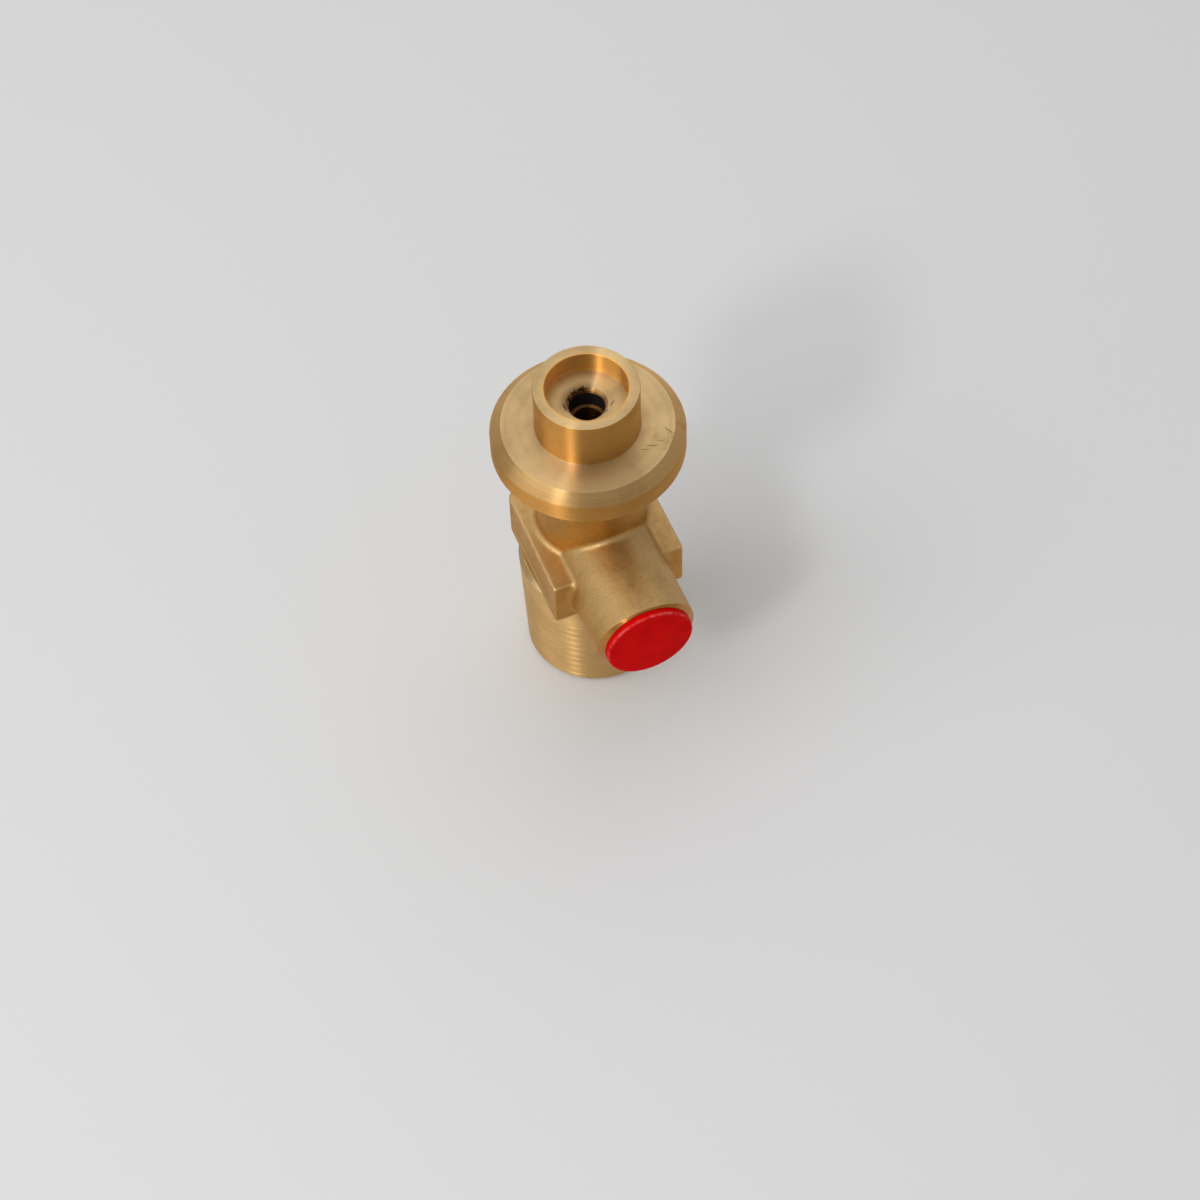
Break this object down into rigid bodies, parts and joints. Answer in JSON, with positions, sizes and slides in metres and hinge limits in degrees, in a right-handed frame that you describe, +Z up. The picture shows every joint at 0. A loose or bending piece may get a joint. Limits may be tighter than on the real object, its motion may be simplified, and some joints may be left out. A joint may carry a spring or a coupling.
{
  "type": "gas cylinder valve",
  "caption": "Self-closing brass gas cylinder valve with a tapered inlet thread, a clip-on flange head, a sprung poppet and a capped side relief valve.",
  "frame": {"origin": "centre of the inlet end, on the body's axis", "axes": "+Z up the body's axis to the head, -Y out along the relief boss, wrench flats face +X and -X"},
  "size_m": [0.035, 0.0458, 0.0735],
  "materials": {
    "forged_brass": "satin forged",
    "turned_brass": "turned",
    "black_rubber": "matte moulded",
    "spring_steel": "drawn wire",
    "red_plastic": "moulded"
  },
  "bodies": {
    "body": {"valve_body": "forged_brass", "probe_gasket": "black_rubber", "inlet_retainer": "turned_brass", "relief_adjuster": "turned_brass", "poppet_spring": "spring_steel", "relief_spring": "spring_steel"},
    "poppet": {"poppet_spindle": "turned_brass", "poppet_washer": "black_rubber"},
    "relief_piston": {"relief_disc": "turned_brass", "relief_pad": "black_rubber"},
    "dust_cap": {"relief_cap": "red_plastic"}
  },
  "joints": [
    {"name": "poppet_open", "type": "slide", "parent": "body", "child": "poppet", "axis": [0, 0, -1], "range_m": [0, 0.0035], "stiffness_N_per_m": 1500, "springref_m": -0.01, "deforming": ["poppet_spring"]},
    {"name": "relief_lift", "type": "slide", "parent": "body", "child": "relief_piston", "axis": [0, -1, 0], "range_m": [0, 0.0012], "stiffness_N_per_m": 2000, "springref_m": -0.01, "deforming": ["relief_spring"]},
    {"name": "cap_pull", "type": "slide", "parent": "body", "child": "dust_cap", "axis": [0, -1, 0], "range_m": [0, 0.012]}
  ]
}
